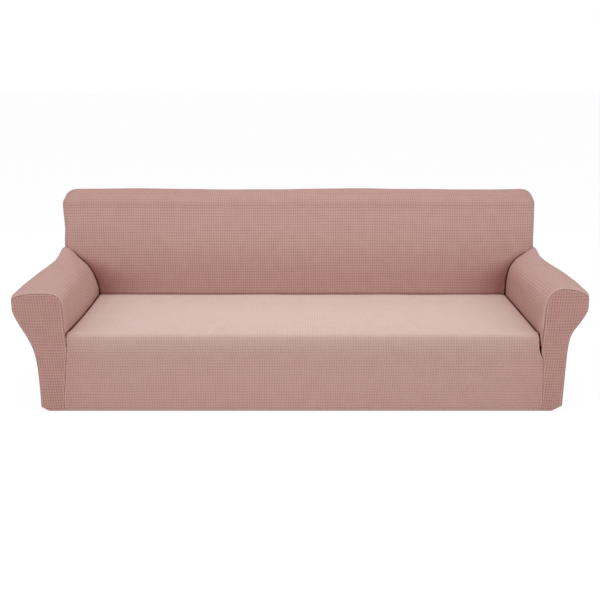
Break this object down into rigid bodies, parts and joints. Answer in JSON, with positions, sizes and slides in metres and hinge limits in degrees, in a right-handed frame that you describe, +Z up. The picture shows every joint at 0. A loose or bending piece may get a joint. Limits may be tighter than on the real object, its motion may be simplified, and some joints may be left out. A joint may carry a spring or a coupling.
{
  "type": "sofa slipcover",
  "caption": "Hollow fitted stretch slipcover for a long sofa: seat deck with skirt, leaning back, rolled arms with bulb shaped fronts, hem at the floor, open underneath.",
  "frame": {"origin": "centre of the cover's footprint, at the height of the hem on the floor", "axes": "+X along the sofa's length, to the right as seen from the front; +Y from the front skirt towards the rear; +Z up"},
  "size_m": [2.7218, 0.8679, 0.956],
  "materials": {
    "stretch_knit": "matte dusty pink stretch knit with a small waffle check"
  },
  "bodies": {
    "root": {"seat_front": "stretch_knit", "inner_back": "stretch_knit", "outer_back": "stretch_knit", "arm_left": "stretch_knit", "arm_right": "stretch_knit", "arm_front_left": "stretch_knit", "arm_front_right": "stretch_knit"}
  },
  "joints": []
}
